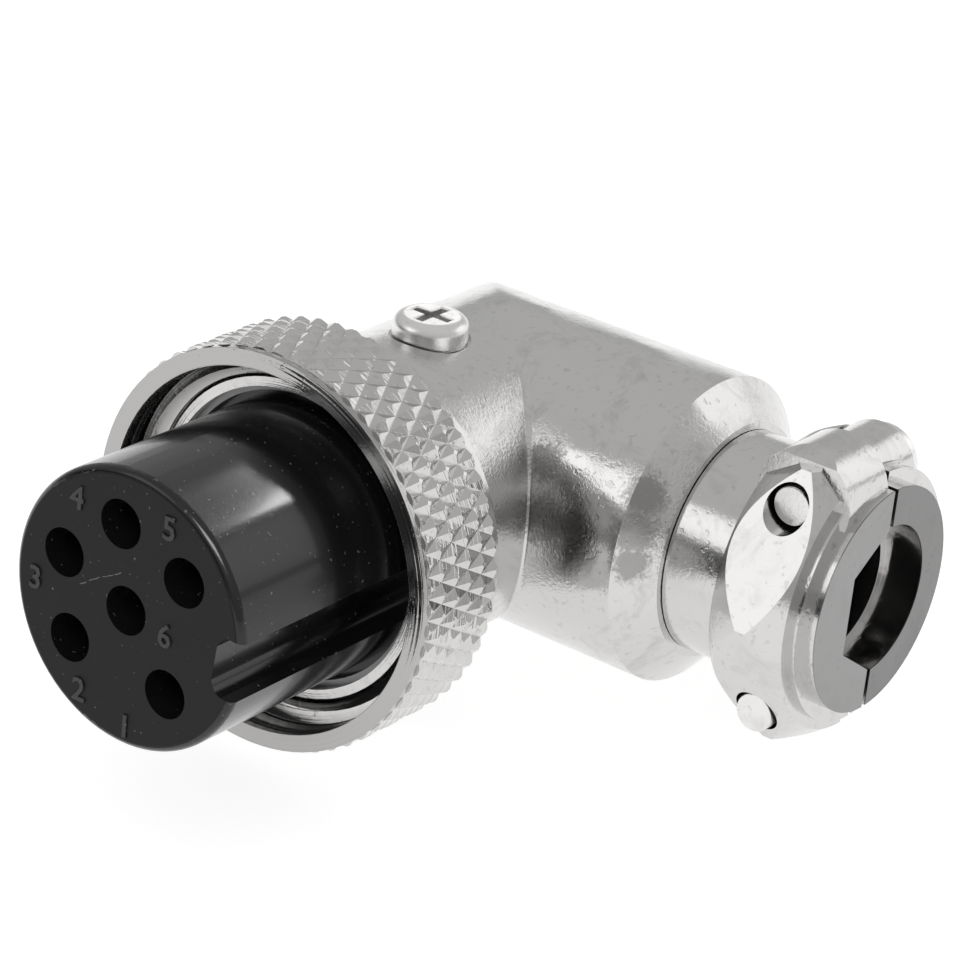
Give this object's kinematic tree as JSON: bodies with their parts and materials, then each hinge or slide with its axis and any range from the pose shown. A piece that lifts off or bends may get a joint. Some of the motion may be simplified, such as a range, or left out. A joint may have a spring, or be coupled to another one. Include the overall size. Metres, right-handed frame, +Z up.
{
  "type": "right angle aviation plug connector",
  "caption": "Right-angle circular cable plug with a knurled coupling nut, black socket insert, keyed mating end and a split cable clamp.",
  "frame": {"origin": "centre of the mating face of the socket insert", "axes": "-Y is the mating direction, along the plug axis; +X is the way the cable leaves; +Z is up, the side of the sleeve screw"},
  "size_m": [0.0308, 0.0329, 0.0188],
  "materials": {
    "insert_black": "satin",
    "nut_nickel": "polished",
    "sleeve_nickel": "satin",
    "elbow_nickel": "satin",
    "clamp_nickel": "satin",
    "screw_nickel": "satin",
    "spring_steel": "satin",
    "contact_metal": "satin"
  },
  "bodies": {
    "plug_shell": {"elbow_housing": "elbow_nickel", "front_sleeve": "sleeve_nickel", "socket_insert": "insert_black", "insert_retaining_ring": "spring_steel", "sleeve_fixing_screw": "screw_nickel", "contact_1": "contact_metal", "contact_2": "contact_metal", "contact_3": "contact_metal", "contact_4": "contact_metal", "contact_5": "contact_metal", "contact_6": "contact_metal"},
    "nut": {"coupling_nut": "nut_nickel"},
    "gland": {"clamp_body": "clamp_nickel"},
    "saddle": {"clamp_saddle": "clamp_nickel"},
    "upper_screw": {"clamp_screw_upper": "screw_nickel"},
    "lower_screw": {"clamp_screw_lower": "screw_nickel"}
  },
  "joints": [
    {"name": "nut_spin", "type": "hinge", "parent": "plug_shell", "child": "nut", "pos_m": [0, 0.01109, 0], "axis": [0, -1, 0], "continuous": true},
    {"name": "gland_turn", "type": "hinge", "parent": "plug_shell", "child": "gland", "pos_m": [0.016, 0.02559, 0], "axis": [1, 0, 0], "range_deg": [0, 360]},
    {"name": "saddle_slide", "type": "slide", "parent": "gland", "child": "saddle", "axis": [0, 1, 0], "range_m": [-0.0002, 0.0024]},
    {"name": "upper_screw_turn", "type": "hinge", "parent": "saddle", "child": "upper_screw", "pos_m": [0.0187, 0.02559, 0.0049], "axis": [0, 1, 0], "range_deg": [-181, 2161]},
    {"name": "lower_screw_turn", "type": "hinge", "parent": "saddle", "child": "lower_screw", "pos_m": [0.0187, 0.02559, -0.0049], "axis": [0, 1, 0], "range_deg": [-181, 2161]}
  ],
  "couplings": [
    {"joint": "upper_screw_turn", "follows": "saddle_slide", "rad_per_m": 15708},
    {"joint": "lower_screw_turn", "follows": "saddle_slide", "rad_per_m": 15708}
  ]
}
